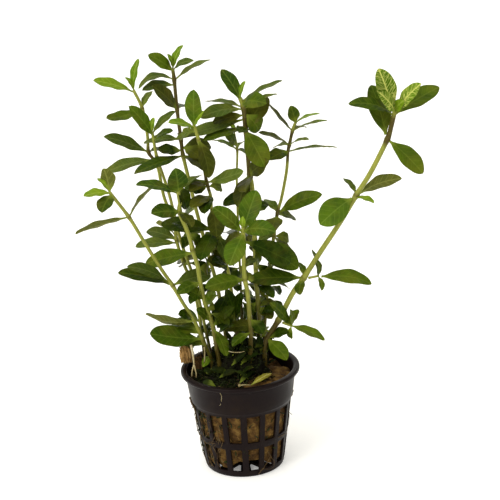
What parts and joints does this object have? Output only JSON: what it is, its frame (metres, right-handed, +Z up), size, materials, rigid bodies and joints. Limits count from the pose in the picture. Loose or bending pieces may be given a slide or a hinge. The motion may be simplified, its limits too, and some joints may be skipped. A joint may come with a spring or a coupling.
{
  "type": "potted dwarf hygrophila",
  "caption": "Bunch of dwarf hygrophila stems with opposite green leaves, rooted in a rock wool plug in a black slotted net pot.",
  "frame": {"origin": "the middle of the pot's underside", "axes": "+Z up, +X to the right as the picture shows the plant, the picture's viewer at -Y"},
  "size_m": [0.163, 0.0605, 0.1957],
  "materials": {
    "black_plastic": "satin black moulded plastic, a little purple-brown",
    "rock_wool": "brown fibrous rock wool, damp",
    "moss": "dark green moss with pale fine roots",
    "dead_leaf": "limp yellow dead leaf",
    "stem": "yellow-green stem with brown joints",
    "leaf": "wet glossy green leaf with a pale midrib"
  },
  "bodies": {
    "root": {"back_stem": "stem", "centre_leaf_1": "leaf", "centre_leaf_2": "leaf", "centre_leaf_3": "leaf", "centre_leaf_4": "leaf", "centre_leaf_5": "leaf", "centre_left_leaf_1": "leaf", "centre_left_leaf_2": "leaf", "centre_left_stem": "stem", "centre_stem": "stem", "fallen_leaf": "dead_leaf", "front_left_leaf_1": "leaf", "front_left_leaf_2": "leaf", "front_left_leaf_3": "leaf", "front_left_leaf_4": "leaf", "front_left_leaf_5": "leaf", "front_left_leaf_6": "leaf", "front_left_stem": "stem", "front_rosette_leaf_1": "leaf", "front_rosette_leaf_2": "leaf", "front_rosette_stem": "stem", "left_inner_stem": "stem", "left_rosette_leaf_1": "leaf", "left_rosette_leaf_2": "leaf", "left_rosette_stem": "stem", "left_tall_leaf_1": "leaf", "left_tall_leaf_2": "leaf", "left_tall_leaf_3": "leaf", "left_tall_leaf_4": "leaf", "left_tall_leaf_5": "leaf", "left_tall_stem": "stem", "lower_side_shoot": "stem", "lower_side_shoot_leaf_1": "leaf", "moss_mound": "moss", "net_pot": "black_plastic", "right_inner_leaf_1": "leaf", "right_inner_leaf_2": "leaf", "right_inner_leaf_3": "leaf", "right_inner_stem": "stem", "right_leaning_leaf_1": "leaf", "right_leaning_leaf_10": "leaf", "right_leaning_leaf_2": "leaf", "right_leaning_leaf_3": "leaf", "right_leaning_leaf_4": "leaf", "right_leaning_leaf_5": "leaf", "right_leaning_leaf_6": "leaf", "right_leaning_leaf_7": "leaf", "right_leaning_leaf_8": "leaf", "right_leaning_leaf_9": "leaf", "right_leaning_stem": "stem", "rock_wool": "rock_wool", "tallest_leaf_1": "leaf", "tallest_leaf_2": "leaf", "tallest_leaf_3": "leaf", "tallest_leaf_4": "leaf", "tallest_stem": "stem", "upper_side_shoot": "stem", "upper_side_shoot_leaf_1": "leaf"}
  },
  "joints": []
}
